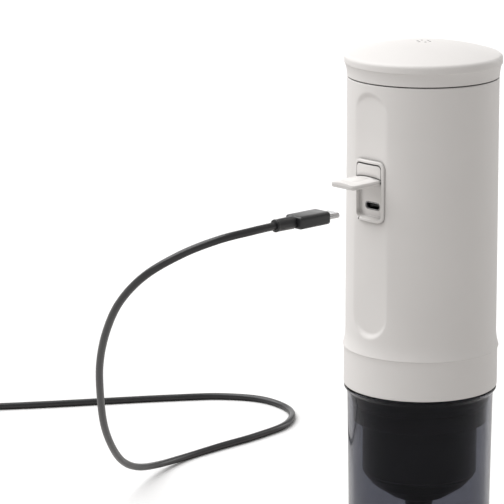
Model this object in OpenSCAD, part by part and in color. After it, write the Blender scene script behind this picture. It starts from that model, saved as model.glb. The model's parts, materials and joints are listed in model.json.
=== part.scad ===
// Portable espresso maker with a smoked cup, a flap over its charging port and a charging lead.
// Frame: origin at the centre of the cup's foot, +Z up, the charging port faces -Y. Millimetres.

/* [Body] */
// Outside radius of the body just above the flare
body_r = 34.1; // [33.8:0.1:34.4]
// Outside radius of the wide band at the body's lower end
band_r = 34.8; // [34.5:0.1:35.2]
// Height of the wide band
band_h = 19; // [15:0.5:22]
// Height of the body shell, from its lower edge to the cap seam
body_h = 140.9; // [140.9:0.1:142]
// Depth of the flat grip facets below the round surface
facet_depth = 1.6; // [1.2:0.1:1.9]

/* [Cup] */
// Height of the body shell's lower edge above the table
cup_h = 82; // [82:1:84]
// Wall thickness of the cup
cup_wall = 2; // [1.8:0.1:2.2]
// Outside radius of the cup's rolled lip
cup_lip_r = 34.6; // [34:0.1:34.8]

/* [Cap] */
// Radius of the cap's widest edge
cap_lip_r = 35.2; // [34.8:0.1:36]
// Height of the cap above its seam, to the top of the dome
cap_h = 15.1; // [14:0.1:17]

/* [Port] */
// Width of the port's frame
bezel_w = 17.7; // [17.4:0.1:18]
// Height of the port's frame
bezel_h = 27.5; // [27:0.1:28]
// Length of the flap from its hinge to its free edge
flap_len = 17; // [16.5:0.1:17]
// Height of the socket's centre line above the table
socket_z = 168.3; // [168:0.1:168.6]

/* [Lead] */
// Diameter of the lead
lead_d = 3.5; // [3:0.1:4]
// How far the plug stands off from its place in the socket
plug_out = 30.4; // [18:0.1:34]

/* [Hidden] */
$fn = 96;
wall_gap = 0.2;                        // gap between inner parts and the body's bore
bore_r = 31.2;                         // bore of the body shell
inner_r = bore_r - wall_gap;
seam_z = cup_h + body_h;               // top edge of the body shell
seam_gap = 0.45;
facet_y = body_r - facet_depth;        // distance of the flat facets from the axis
facet_z0 = cup_h + 26.4;
facet_z1 = cup_h + 137;
facet_half = 10.2;
bezel_r = 34.7;                        // the port frame's face lies on this cylinder
bezel_z = 175.4;                       // centre height of the port's frame
pocket_w = 15.1;
pocket_h = 23.7;
frame_corner = 3.2;
pocket_corner = 2;
pocket_y = -31.3;                      // back wall of the port's pocket
bezel_back_y = -29.3;
hinge_y = -33.4;
hinge_z = 180.7;
hinge_pin_r = 0.38;
flap_rest = 88.7;                      // angle the flap stands open, from its closed place
arch_r = 35.5;                         // the tab's lower edge is an arc of this radius
run_gap = 0.05;                        // running clearance of pins and shafts
button_z = socket_z;
deck_lo = 100;                         // underside of the lower deck
deck_hi = 186;                         // underside of the upper deck
deck_t = 3;
column_r = 2.6;
columns = [[24.5, 14], [-24.5, 14], [0, -10]];
cells = [[16.5, -6], [-16.5, -6]];
cell_r = 9.2;
cell_z = 105.2;
cell_len = 65;
motor_y = 9;
motor_r = 12;
bracket_z = 136;
bracket_t = 4;
gear_module = 0.5;
pinion_teeth = 12;
crank_teeth = 30;
gear_z = 131;
gear_t = 3;
crank_y = motor_y + gear_module * (pinion_teeth + crank_teeth) / 2;
crank_e = 3.5;
rod_z = 124;
rod_r = 2.46;
tube_xy = [-16.5, 20];
tube_r = 1.6;
press_xy = [-12, 18];
tank_z = 189.3;
tank_top = 222.4;
tank_wall = 1.5;
lug_angles = [0, 120, 240];
unlock_angle = 40;
screw_xy = [[0, 28.2], [14.1, -24.4], [-14.1, -24.4]];
motor_screw_xy = [[7, 5], [-7, 5]];
plug_y = pocket_y - 0.2 - plug_out;               // front face of the plug's moulded body
relief_y = plug_y - 17.5;
cord_y = relief_y - 11;
coil_c = [-361, -11];
coil_turns_r = [16.7, 23.8];
tail_heading = -46;

// The lead's route from the strain relief to the coil: round points, in order.
lead_route = [
    [0, cord_y, socket_z], [0, -104, 168], [-4, -119, 166], [-14, -131, 160], [-30, -138, 149],
    [-48, -137, 134], [-66, -130, 116], [-84, -119, 96], [-101, -105, 75], [-118, -89, 54],
    [-134, -71, 36], [-149, -52, 21.5], [-163, -31, 11], [-175, -8, 4.5], [-182, 17, 1.8],
    [-184, 43, 1.8], [-185, 69, 1.8], [-190, 95, 1.8], [-207, 114, 1.8], [-232, 118, 1.8],
    [-253, 106, 1.8], [-269, 85, 1.8], [-287, 57, 1.8], [-305, 28, 1.8], [-324, 0, 1.8],
    [-344, -25, 1.8]];
// The lead's tail from the top of the coil, over both turns, to the far plug.
tail_route = [
    [-347.7, 1.9, 5.3], [-340.7, -5.3, 5.5], [-333.8, -12.5, 5.5], [-327, -19.5, 5],
    [-321.4, -25.3, 4.3], [-316.4, -30.5, 4]];

// ---------- shared shapes ----------

module tube(ro, ri, z0, z1) {
    translate([0, 0, z0]) difference() {
        cylinder(r = ro, h = z1 - z0);
        translate([0, 0, -1]) cylinder(r = ri, h = z1 - z0 + 2);
    }
}

module disc(r, z0, z1) {
    translate([0, 0, z0]) cylinder(r = r, h = z1 - z0);
}

// A flat rectangle with round corners, centred.
module round_rect(w, h, r) {
    square([w - 2 * r, h], center = true);
    square([w, h - 2 * r], center = true);
    for (x = [-1, 1], y = [-1, 1])
        translate([x * (w / 2 - r), y * (h / 2 - r)]) circle(r = r, $fn = 32);
}

// A flat slot with round ends, lying along X, centred.
module slot_shape(w, h) {
    square([w - h, h], center = true);
    for (x = [-1, 1])
        translate([x * (w - h) / 2, 0]) circle(d = h, $fn = 48);
}

// Children drawn in X and Z, pushed out along Y from y0 to y1.
module along_y(y0, y1, z) {
    translate([0, y1, z]) rotate([90, 0, 0]) linear_extrude(y1 - y0) children();
}

// A ring with a slot shape, seen along Y.
module slot_tube(w, h, wall, y0, y1, z) {
    along_y(y0, y1, z) difference() {
        slot_shape(w, h);
        slot_shape(w - 2 * wall, h - 2 * wall);
    }
}

// A sector of a tube, centred on angle a.
module tube_sector(ro, ri, z0, z1, a, width) {
    translate([0, 0, z0]) rotate([0, 0, a - width / 2])
        rotate_extrude(angle = width) translate([ri, 0]) square([ro - ri, z1 - z0]);
}

// A spur gear outline with straight-sided teeth; a tooth points along +X when turn is 0.
function gear_points(teeth, turn) = [
    for (i = [0:teeth - 1], c = [[-0.28, -1.1], [-0.13, 0.8], [0.13, 0.8], [0.28, -1.1]])
        let (a = turn + 360 * (i + c[0]) / teeth,
             r = gear_module * (teeth / 2 + c[1]))
        [r * cos(a), r * sin(a)]];

// ---------- sweep along a route ----------

function unit(v) = v / norm(v);
function route_at(p, i) =
    i < 0 ? 2 * p[0] - p[1] : i >= len(p) ? 2 * p[len(p) - 1] - p[len(p) - 2] : p[i];
// Catmull-Rom position between points i and i + 1.
function smooth_at(p, i, t) =
    let (a = route_at(p, i - 1), b = route_at(p, i), c = route_at(p, i + 1), d = route_at(p, i + 2))
    0.5 * (2 * b + (c - a) * t + (2 * a - 5 * b + 4 * c - d) * t * t
        + (3 * b - a - 3 * c + d) * t * t * t);
function smooth_path(p, steps) = [
    for (i = [0:len(p) - 2], s = [0:steps - 1]) smooth_at(p, i, s / steps),
    p[len(p) - 1]];
function heading(q, i) =
    unit(q[min(i + 1, len(q) - 1)] - q[max(i - 1, 0)]);
function ring_at(q, i, r, sides) =
    let (t = heading(q, i), side = unit(cross(t, [0, 0, 1])), rise = cross(side, t))
    [for (k = [0:sides - 1])
        q[i] + r * (cos(360 * k / sides) * side + sin(360 * k / sides) * rise)];

module sweep(p, steps, r, sides) {
    q = smooth_path(p, steps);
    n = len(q);
    points = [for (i = [0:n - 1]) each ring_at(q, i, r, sides)];
    walls = [for (i = [0:n - 2], k = [0:sides - 1])
        let (a = i * sides + k, b = i * sides + (k + 1) % sides)
        [a, b, b + sides, a + sides]];
    ends = [[for (k = [sides - 1:-1:0]) k], [for (k = [0:sides - 1]) (n - 1) * sides + k]];
    polyhedron(points, concat(walls, ends));
}

// ---------- cup ----------

module cup() {
    base_r = 31.9;
    neck_r = 33;
    fillet = 3;
    lip_z = cup_h - 0.6;
    color([0.2, 0.2, 0.22, 0.5]) rotate_extrude() difference() {
        union() {
            polygon([[0, 0.5], [base_r - fillet, 0.5], [base_r, fillet + 0.5], [neck_r, cup_h - 3.5],
                [cup_lip_r, lip_z - 0.5], [cup_lip_r, lip_z], [0, lip_z]]);
            translate([base_r - fillet, fillet + 0.5]) circle(r = fillet, $fn = 48);
        }
        polygon([[-1, 3.5], [base_r - cup_wall - fillet, 3.5], [base_r - cup_wall, 6],
            [neck_r - cup_wall, lip_z], [neck_r - cup_wall, cup_h + 2], [-1, cup_h + 2]]);
        translate([-1, -1]) square([28.2, 2.1]);
    }
}

module cup_foot() {
    color([0.1, 0.1, 0.1]) disc(27, 0, 1);
}

// ---------- body ----------

// Outside radius of the body shell at a height above its lower edge.
function shell_r(h) =
    h <= band_h ? band_r
    : h < band_h + 6.5 ? band_r - (band_r - body_r) * (1 - cos(180 * (h - band_h) / 6.5)) / 2
    : body_r - 0.27 * (h - band_h - 6.5) / (body_h - band_h - 6.5);

// One flat-bottomed grip facet with round ends, as a cutter on the -Y side.
module facet_cutter() {
    mid = (facet_z0 + facet_z1) / 2;
    long = facet_z1 - facet_z0;
    translate([0, -facet_y, mid]) rotate([90, 0, 0]) linear_extrude(6)
        rotate(90) slot_shape(long, 2 * facet_half);
}

module body_shell() {
    steps = [for (i = [0:8]) band_h + 6.5 * i / 8];
    color([0.9, 0.89, 0.88]) difference() {
        translate([0, 0, cup_h]) rotate_extrude()
            polygon(concat([[bore_r, 0], [band_r - 0.4, 0], [band_r, 0.4]],
                [for (h = steps) [shell_r(h), h]],
                [[shell_r(body_h - 0.4), body_h - 0.4], [shell_r(body_h) - 0.4, body_h], [bore_r, body_h]]));
        facet_cutter();
        rotate([0, 0, 180]) facet_cutter();
        along_y(-40, -26, bezel_z) round_rect(bezel_w + 0.1, bezel_h + 0.1, frame_corner + 0.05);
        translate([0, 26, button_z]) rotate([-90, 0, 0]) cylinder(r = 9, h = 12);
    }
}

module top_cap() {
    z0 = seam_z + seam_gap;
    z_top = seam_z + cap_h + 0.4;
    neck_r = 33.95;
    edge = 1.9;                            // radius of the rounded edge
    edge_z = seam_z + 8.4;
    dome_r = cap_lip_r - edge + edge * cos(73);
    dome_z = edge_z + edge * sin(73);
    dome = [for (i = [0:10]) let (x = dome_r * (1 - i / 10))
        [x, dome_z + (z_top - dome_z) * (1 - pow(x / dome_r, 2))]];
    color([0.95, 0.95, 0.94]) difference() {
        rotate_extrude() difference() {
            union() {
                polygon(concat([[0, z0]],
                    [for (i = [0:6]) [neck_r + 0.9 * pow(i / 6, 2), z0 + (seam_z + 6.1 - z0) * i / 6]],
                    [[cap_lip_r, seam_z + 6.4], [cap_lip_r, edge_z]],
                    [for (a = [15:15:60]) [cap_lip_r - edge + edge * cos(a), edge_z + edge * sin(a)]],
                    dome));
                translate([27, seam_z - 9]) square([2.1, 12]);
            }
            polygon([[-1, seam_z - 10], [27, seam_z - 10], [27, seam_z + 5.5], [-1, seam_z + 12]]);
            translate([29.1, z0 - 1]) polygon([[0, 0], [2.4, 0], [2.4, 5], [0, 5]]);
            translate([28.3, seam_z - 5]) square([2, 2.4]);
        }
        for (a = [30:60:330])
            translate([2.6 * cos(a), 2.6 * sin(a), seam_z]) cylinder(r = 0.5, h = 20, $fn = 24);
    }
}

module cap_gasket() {
    color([0.35, 0.35, 0.36]) rotate_extrude()
        translate([28.3, seam_z - 5]) polygon([[0, 0], [0.7, 0], [1.05, 0.8], [1.05, 1.6], [0.7, 2.4], [0, 2.4]]);
}

module water_tank() {
    color([0.75, 0.85, 0.9, 0.5]) difference() {
        disc(inner_r, tank_z, tank_top);
        disc(inner_r - tank_wall, tank_z + 2, tank_top + 1);
        translate([tube_xy[0], tube_xy[1], tank_z - 1]) cylinder(r = 1, h = 5);
    }
}

module tank_filter() {
    color([0.8, 0.8, 0.8]) translate([tube_xy[0], tube_xy[1], 0]) tube(3.4, 1.2, tank_z + 2, tank_z + 5.5);
}

// ---------- port ----------

module bezel_face() {
    intersection() {
        translate([0, 0, bezel_z - bezel_h]) cylinder(r = bezel_r, h = 2 * bezel_h, $fn = 180);
        children();
    }
}

module port_bezel() {
    color([0.88, 0.87, 0.86]) difference() {
        bezel_face() along_y(-36, bezel_back_y, bezel_z) round_rect(bezel_w, bezel_h, frame_corner);
        along_y(-40, pocket_y, bezel_z) round_rect(pocket_w, pocket_h, pocket_corner);
        along_y(-32, -28, socket_z) slot_shape(9.3, 3.5);
        hinge_line(hinge_pin_r, 7.9);
        translate([-6, -35, bezel_z - bezel_h / 2 + 0.3]) cube([0.6, 1.3, 1.1]);
    }
}

// A rod along the hinge's axis, reaching as far on both sides of the middle.
module hinge_line(r, reach) {
    translate([-reach, hinge_y, hinge_z]) rotate([0, 90, 0]) cylinder(r = r, h = 2 * reach, $fn = 48);
}

// The arc along the tab's lower edge, lowered by a gap, as a disc in X and Z.
module arch(gap) {
    translate([0, bezel_z + pocket_h / 2 - 5.2 - arch_r]) circle(r = arch_r - gap, $fn = 200);
}

// How far from the hinge's axis the flap's upper edge reaches, at a distance x from the middle.
function flap_edge_r(x) =
    norm([sqrt(bezel_r * bezel_r - x * x) + hinge_y,
          sqrt(pow(arch_r - 0.2, 2) - x * x) + bezel_z + pocket_h / 2 - 5.2 - arch_r - hinge_z]);

module port_tab() {
    side = 7.6;
    color([0.88, 0.87, 0.86]) difference() {
        union() {
            bezel_face() along_y(-36, -32.3, 0) difference() {
                translate([0, bezel_z]) round_rect(pocket_w - 0.3, pocket_h - 0.3, pocket_corner - 0.15);
                translate([-10, 150]) square([20, 30]);
                arch(0);
            }
            along_y(-33, pocket_y, 185.2) square([11, 2.6], center = true);
        }
        translate([0, hinge_y, hinge_z]) rotate([0, 90, 0]) rotate_extrude()
            polygon(concat([[0, -side]], [for (i = [0:20]) let (x = -side + side * i / 10)
                [flap_edge_r(x) + 0.1, x]], [[0, side]]));
    }
}

// Puts a flap piece drawn in its closed place into its open place.
module flap_open() {
    translate([0, hinge_y, hinge_z]) rotate([-flap_rest, 0, 0])
        translate([0, -hinge_y, -hinge_z]) children();
}

module port_flap() {
    w = pocket_w - 0.5;
    color([0.88, 0.87, 0.86]) flap_open() difference() {
        bezel_face() along_y(-36, -31.95, 0) intersection() {
            translate([0, hinge_z - flap_len + 10]) round_rect(w, 20, pocket_corner - 0.15);
            arch(0.2);
        }
        hinge_line(hinge_pin_r + run_gap, 10);
    }
}

module flap_rim() {
    mid = hinge_z - flap_len / 2 - 0.5;
    color([0.8, 0.8, 0.8]) flap_open() along_y(-31.95, -31.5, mid) difference() {
        round_rect(10.4, flap_len - 6.4, 1.5);
        round_rect(9, flap_len - 7.8, 1);
    }
}

module flap_pin() {
    color([0.7, 0.7, 0.72]) hinge_line(hinge_pin_r, 7.9);
}

module usb_shell() {
    color([0.7, 0.7, 0.72]) slot_tube(8.94, 3.16, 0.3, -31.2, -22.7, socket_z);
}

module usb_tongue() {
    color([0.08, 0.08, 0.08]) {
        along_y(-24.3, -22.7, socket_z) slot_shape(8.3, 2.5);
        translate([-3.3, -29.6, socket_z - 0.35]) cube([6.6, 5.4, 0.7]);
    }
}

module charging_board() {
    color([0.1, 0.35, 0.2]) translate([-11, -22.7, 157]) cube([22, 1.2, 28]);
}

module charging_chips() {
    color([0.1, 0.1, 0.1]) for (c = [[-8, 160, 5, 5], [-1, 162, 4, 7], [5, 174, 4, 4], [-7, 176, 6, 3]])
        translate([c[0], -21.5, c[1]]) cube([c[2], 1.4, c[3]]);
}

// ---------- button ----------

module rear_cylinder(r, y0, y1) {
    translate([0, y0, button_z]) rotate([-90, 0, 0]) cylinder(r = r, h = y1 - y0);
}

module start_button() {
    color([0.92, 0.91, 0.9]) {
        rear_cylinder(7.8, 30.2, 33);
        rear_cylinder(8.5, 29.6, 30.2);
        rear_cylinder(2, 28, 29.6);
    }
}

module button_ring() {
    color([0.95, 0.95, 1]) difference() {
        rear_cylinder(9, 30.5, 32.7);
        rear_cylinder(8.1, 29, 34);
    }
}

module button_dome() {
    color([0.3, 0.3, 0.3]) translate([0, 23.8, button_z]) rotate([-90, 0, 0]) rotate_extrude()
        polygon([[6.8, 0], [7.6, 0], [5, 5.8], [4.2, 5.8]]);
}

module tact_switch() {
    color([0.15, 0.15, 0.15]) {
        translate([-3, 23.8, button_z - 3]) cube([6, 2.4, 6]);
        rear_cylinder(1.6, 26.2, 27);
    }
}

module control_board() {
    color([0.1, 0.35, 0.2]) translate([-15, 22.4, 150]) cube([30, 1.4, 35]);
}

module control_chips() {
    color([0.1, 0.1, 0.1]) for (c = [[-12, 152, 7, 7], [3, 153, 5, 4], [-6, 178, 12, 3]])
        translate([c[0], 23.8, c[1]]) cube([c[2], 1.3, c[3]]);
}

// ---------- frame and power ----------

module chassis() {
    color([0.25, 0.25, 0.27]) difference() {
        union() {
            disc(inner_r, deck_lo, deck_lo + deck_t);
            disc(inner_r, deck_hi, deck_hi + deck_t);
            for (c = columns)
                translate([c[0], c[1], deck_lo + 1]) cylinder(r = column_r, h = deck_hi - deck_lo);
            for (s = [-1, 1]) {
                translate([s * 12.3 - 1.2, -23.5, 150]) cube([2.4, 3, deck_hi - 149]);
                translate([s * 16.3 - 1.2, 22, 148]) cube([2.4, 2.6, deck_hi - 147]);
            }
        }
        translate([-10, -40, deck_hi - 1]) cube([20, 11, deck_t + 2]);
        translate([tube_xy[0], tube_xy[1], deck_hi - 1]) cylinder(r = tube_r + 0.1, h = deck_t + 2);
        translate([press_xy[0], press_xy[1], deck_lo - 1]) cylinder(r = tube_r, h = deck_t + 2);
        for (s = screw_xy) translate([s[0], s[1], deck_lo - 1]) cylinder(r = 1.3, h = deck_t + 2);
    }
}

module battery_tray() {
    color([0.2, 0.2, 0.22]) difference() {
        union() {
            for (c = cells) translate([c[0], c[1], 0]) disc(10.4, 103, 120);
            translate([-16, -7, 103]) cube([32, 6, 2]);
        }
        for (c = cells) translate([c[0], c[1], 0]) disc(cell_r + 0.1, cell_z - 0.2, 130);
    }
}

module battery_cells() {
    color([0.15, 0.35, 0.6]) for (c = cells) translate([c[0], c[1], 0]) {
        disc(cell_r, cell_z - 0.2, cell_z + cell_len - 1.2);
        disc(3, cell_z + cell_len - 1.3, cell_z + cell_len);
    }
}

module cell_strip() {
    color([0.75, 0.73, 0.7]) translate([-19.5, -7.2, cell_z + cell_len]) cube([39, 5.5, 0.4]);
}

// ---------- pump drive ----------

module motor_can() {
    color([0.65, 0.65, 0.67]) translate([0, motor_y, 0]) difference() {
        union() {
            disc(motor_r, bracket_z + bracket_t, 170);
            disc(5, 170, 172);
        }
        disc(1.2, bracket_z, 160);
        for (s = motor_screw_xy)
            translate([s[0], s[1] - motor_y, bracket_z]) cylinder(r = 1, h = 8);
    }
}

module motor_bracket() {
    color([0.3, 0.3, 0.32]) difference() {
        translate([0, 0, bracket_z]) linear_extrude(bracket_t) intersection() {
            circle(r = inner_r);
            union() {
                translate([-24.5, 10]) square([49, 8]);
                for (c = [columns[0], columns[1]]) translate(c) circle(r = 4);
                translate([0, motor_y]) circle(r = 11.8);
                translate([0, crank_y]) circle(r = 5);
            }
        }
        for (c = columns) translate([c[0], c[1], bracket_z - 1]) cylinder(r = column_r, h = 8);
        translate([0, motor_y, bracket_z - 1]) cylinder(r = 4.2, h = 8);
        translate([0, crank_y, bracket_z - 1]) cylinder(r = 1.5, h = 8);
        for (s = motor_screw_xy) translate([s[0], s[1], bracket_z - 1]) cylinder(r = 1.1, h = 8);
    }
}

module motor_screws() {
    color([0.75, 0.75, 0.75]) for (s = motor_screw_xy) translate([s[0], s[1], 0]) {
        disc(1, bracket_z - 0.1, bracket_z + 7.5);
        disc(1.9, bracket_z - 1.5, bracket_z);
    }
}

module motor_shaft() {
    color([0.8, 0.8, 0.8]) translate([0, motor_y, 0]) disc(1.15, gear_z - 0.6, 159.5);
}

module motor_pinion() {
    color([0.8, 0.65, 0.3]) translate([0, motor_y, 0]) difference() {
        translate([0, 0, gear_z - 0.1]) linear_extrude(gear_t)
            polygon(gear_points(pinion_teeth, 90 + 180 / pinion_teeth));
        disc(1.15, gear_z - 1, gear_z + 8);
    }
}

module crank_gear() {
    color([0.9, 0.9, 0.85]) translate([0, crank_y, 0]) difference() {
        union() {
            translate([0, 0, gear_z]) linear_extrude(gear_t) polygon(gear_points(crank_teeth, -90));
            translate([0, crank_e, rod_z + 3]) cylinder(r = 1.2, h = gear_z - rod_z - 2.9, $fn = 48);
        }
        disc(1.55, gear_z - 1, gear_z + 8);
    }
}

module crank_axle() {
    color([0.8, 0.8, 0.8]) translate([0, crank_y, 0]) {
        disc(1.5, gear_z - 0.2, bracket_z + bracket_t);
        disc(2, gear_z - 0.9, gear_z - 0.2);
    }
}

module pump_block() {
    color([0.85, 0.85, 0.8]) difference() {
        translate([-18.5, 14.5, deck_lo + deck_t]) cube([9.5, 10, 27]);
        translate([-17.6, crank_y, rod_z]) rotate([0, 90, 0]) cylinder(r = 2.5, h = 12);
        translate([tube_xy[0], tube_xy[1], rod_z + 1]) cylinder(r = 0.8, h = 7, $fn = 32);
        translate([press_xy[0], press_xy[1], 102]) cylinder(r = 0.8, h = 22, $fn = 32);
    }
}

module pump_seal() {
    color([0.1, 0.1, 0.1]) translate([-9, crank_y, rod_z]) rotate([0, 90, 0]) difference() {
        cylinder(r = 4, h = 1.2);
        translate([0, 0, -1]) cylinder(r = 2.5, h = 4);
    }
}

module plunger() {
    color([0.8, 0.8, 0.82]) translate([-13.2, crank_y, rod_z]) rotate([0, 90, 0]) cylinder(r = rod_r, h = 10);
}

module plunger_yoke() {
    color([0.9, 0.9, 0.85]) difference() {
        translate([-3.2, crank_y - 7, rod_z - 2.5]) cube([6.4, 14, 5.2]);
        translate([-1.3, crank_y - 5, rod_z - 4]) cube([2.6, 10, 8]);
    }
}

// ---------- water path ----------

module suction_tube() {
    color([0.9, 0.9, 0.88]) translate([tube_xy[0], tube_xy[1], 0])
        tube(tube_r, 1, deck_lo + deck_t + 27, tank_z);
}

module pressure_tube() {
    color([0.9, 0.9, 0.88]) translate([press_xy[0], press_xy[1], 0])
        tube(tube_r - 0.1, 0.8, 96, deck_lo + deck_t);
}

module boiler() {
    color([0.75, 0.76, 0.78]) difference() {
        union() {
            disc(25.2, 84, 96);
            disc(2, 80.5, 84);
        }
        disc(20, 86, 94);
        disc(1, 79, 87);
        translate([press_xy[0], press_xy[1], 93]) cylinder(r = 0.8, h = 5, $fn = 32);
    }
}

module heater_ring() {
    color([0.55, 0.5, 0.45]) {
        rotate_extrude() translate([14, 97.8]) circle(r = 1.8, $fn = 32);
        for (s = [-1, 1]) translate([s * 4, -14, 97.8]) rotate([90, 0, 0]) cylinder(r = 0.9, h = 5, $fn = 32);
    }
}

module brew_head() {
    color([0.08, 0.08, 0.09]) difference() {
        rotate_extrude() polygon([
            [26.4, 65.5], [29.9, 65.5], [30.3, 65.9], [30.3, 73.2], [29.7, 73.2], [29.7, 73.8],
            [30.6, 74], [30.6, 76], [29.2, 76], [29.2, 79], [30.6, 79], [30.6, 81.5], [inner_r, 82],
            [inner_r, 100], [25.4, 100], [25.4, 84], [0, 84], [0, 80], [26.4, 80], [26.4, 73.8],
            [27.8, 73.8], [27.8, 69.7], [26.4, 69.7]]);
        disc(2.05, 70, 90);
        for (a = lug_angles)
            tube_sector(27.7, 25.8, 64, 71.5, a + unlock_angle, 32);
        for (s = screw_xy) translate([s[0], s[1], 92]) cylinder(r = 1.3, h = 9, $fn = 48);
    }
}

module cup_seal() {
    color([0.2, 0.2, 0.2]) rotate_extrude()
        polygon([[29.2, 76], [30.6, 76], [30.8, 76.8], [30.8, 78.2], [30.6, 79], [29.2, 79]]);
}

module shower_screen() {
    color([0.75, 0.75, 0.77]) difference() {
        disc(26.2, 79.2, 80);
        for (ring = [0:3], i = [0:max(0, 6 * ring - 1)])
            rotate([0, 0, ring == 0 ? 0 : 60 * i / ring]) translate([5 * ring, 0, 79]) cylinder(r = 0.6, h = 2, $fn = 24);
    }
}

module head_gasket() {
    color([0.25, 0.25, 0.25]) tube(26.2, 22.5, 77.7, 79.2);
}

module chassis_screws() {
    color([0.75, 0.75, 0.75]) for (s = screw_xy) translate([s[0], s[1], 0]) {
        disc(1.25, 93, 103.1);
        disc(2.2, 103, 104.6);
    }
}

// ---------- basket holder ----------

module basket_holder() {
    color([0.1, 0.1, 0.11]) {
        rotate_extrude() polygon([
            [24, 76.5], [26, 76.5], [26, 41.4], [25, 40.8], [25, 39.6], [21, 35], [13, 29.5], [6.5, 27],
            [5.6, 20], [4, 20], [4.4, 28], [11, 31.5], [19, 37], [24, 43]]);
        for (a = lug_angles) tube_sector(27.5, 25.5, 70, 73.5, a, 24);
    }
}

module coffee_basket() {
    color([0.8, 0.8, 0.8]) difference() {
        rotate_extrude() polygon([[0, 52], [23, 52], [23.5, 76.5], [25.9, 76.5], [25.9, 77.2],
            [22.8, 77.2], [22.3, 52.8], [0, 52.8]]);
        for (ring = [0:3], i = [0:max(0, 6 * ring - 1)])
            rotate([0, 0, ring == 0 ? 0 : 60 * i / ring]) translate([5.5 * ring, 0, 50]) cylinder(r = 0.5, h = 5, $fn = 24);
    }
}

// ---------- lead ----------

module plug_shell() {
    color([0.75, 0.75, 0.77]) difference() {
        along_y(plug_y - 1, plug_y + 6.4, socket_z) slot_shape(8.25, 2.4);
        translate([-3.5, plug_y + 0.4, socket_z - 0.5]) cube([7, 8, 1]);
    }
}

module plug_body() {
    color([0.1, 0.1, 0.11]) difference() {
        union() {
            along_y(relief_y + 2, plug_y - 0.7, socket_z) round_rect(10.4, 5.6, 1.5);
            along_y(plug_y - 0.7, plug_y, socket_z) round_rect(9.5, 4.7, 1.1);
            along_y(relief_y, relief_y + 2, socket_z) round_rect(8.6, 5.2, 2.4);
        }
        along_y(plug_y - 1, plug_y + 1, socket_z) slot_shape(8.25, 2.4);
    }
}

module plug_relief() {
    ribs = [for (i = [0:3]) each [[2.6 - 0.1 * i, 2.75 * i], [2.6 - 0.1 * i, 2.75 * i + 2],
        [2.15 - 0.05 * i, 2.75 * i + 2], [2.15 - 0.05 * i, 2.75 * i + 2.75]]];
    color([0.1, 0.1, 0.11]) translate([0, relief_y, socket_z]) rotate([90, 0, 0]) rotate_extrude()
        polygon(concat([[0, 0]], ribs, [[0, 11]]));
}

module lead_cord() {
    color([0.1, 0.1, 0.11]) sweep(lead_route, 3, lead_d / 2, 8);
}

module lead_coil() {
    color([0.1, 0.1, 0.11]) translate([coil_c[0], coil_c[1], 0]) rotate_extrude()
        translate([(coil_turns_r[0] + coil_turns_r[1]) / 2, lead_d / 2])
            slot_shape(coil_turns_r[1] - coil_turns_r[0], lead_d);
}

module lead_tail() {
    color([0.1, 0.1, 0.11]) sweep(tail_route, 2, lead_d / 2, 8);
}

module coil_tie() {
    inner = coil_turns_r[0] - 0.6;
    outer = coil_turns_r[1] + 0.1;
    mid = (inner + outer) / 2;
    half = (outer - inner) / 2;
    color([0.2, 0.2, 0.22]) translate([coil_c[0], coil_c[1], 0]) rotate([0, 0, 190])
        translate([mid, 4, 0]) rotate([90, 0, 0]) linear_extrude(8) difference() {
            translate([-half - 0.6, 0]) square([2 * half + 1.2, lead_d + 0.7]);
            translate([-half, -1]) square([2 * half, lead_d + 1.1]);
        }
}

// Far plug parts are drawn along +X from the end of the tail.
module at_far_plug() {
    end = tail_route[len(tail_route) - 1];
    translate([end[0], end[1], 0]) rotate([0, 0, tail_heading]) children();
}

module far_plug_body() {
    color([0.1, 0.1, 0.11]) at_far_plug() difference() {
        union() {
            translate([0, 0, 4]) rotate([0, 90, 0]) cylinder(r1 = 2.2, r2 = 2.9, h = 10);
            translate([10, 0, 3.9]) rotate([90, 0, 90]) linear_extrude(24) round_rect(15.6, 7.8, 1.5);
        }
        translate([33, -6, 1.65]) cube([2, 12, 4.5]);
    }
}

module far_plug_shell() {
    color([0.75, 0.75, 0.77]) at_far_plug() difference() {
        translate([33, -6, 1.65]) cube([13, 12, 4.5]);
        translate([34, -5.7, 1.95]) cube([13, 11.4, 3.9]);
    }
}

module far_plug_tongue() {
    color([0.9, 0.9, 0.9]) at_far_plug() translate([34, -5.6, 1.95]) cube([11, 11.2, 1.9]);
}

cup();
cup_foot();
body_shell();
top_cap();
cap_gasket();
water_tank();
tank_filter();
port_bezel();
port_tab();
port_flap();
flap_rim();
flap_pin();
usb_shell();
usb_tongue();
charging_board();
charging_chips();
start_button();
button_ring();
button_dome();
tact_switch();
control_board();
control_chips();
chassis();
battery_tray();
battery_cells();
cell_strip();
motor_can();
motor_bracket();
motor_screws();
motor_shaft();
motor_pinion();
crank_gear();
crank_axle();
pump_block();
pump_seal();
plunger();
plunger_yoke();
suction_tube();
pressure_tube();
boiler();
heater_ring();
brew_head();
cup_seal();
shower_screen();
head_gasket();
chassis_screws();
basket_holder();
coffee_basket();
plug_shell();
plug_body();
plug_relief();
lead_cord();
lead_coil();
lead_tail();
coil_tie();
far_plug_body();
far_plug_shell();
far_plug_tongue();
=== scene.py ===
"""Looks of a portable espresso maker with its charging lead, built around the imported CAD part.

Everything is in metres in the part's frame: +Z up the body, the charging port faces -Y.
"""
import json
import math

import bmesh
import bpy
from mathutils import Matrix, Vector


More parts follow.
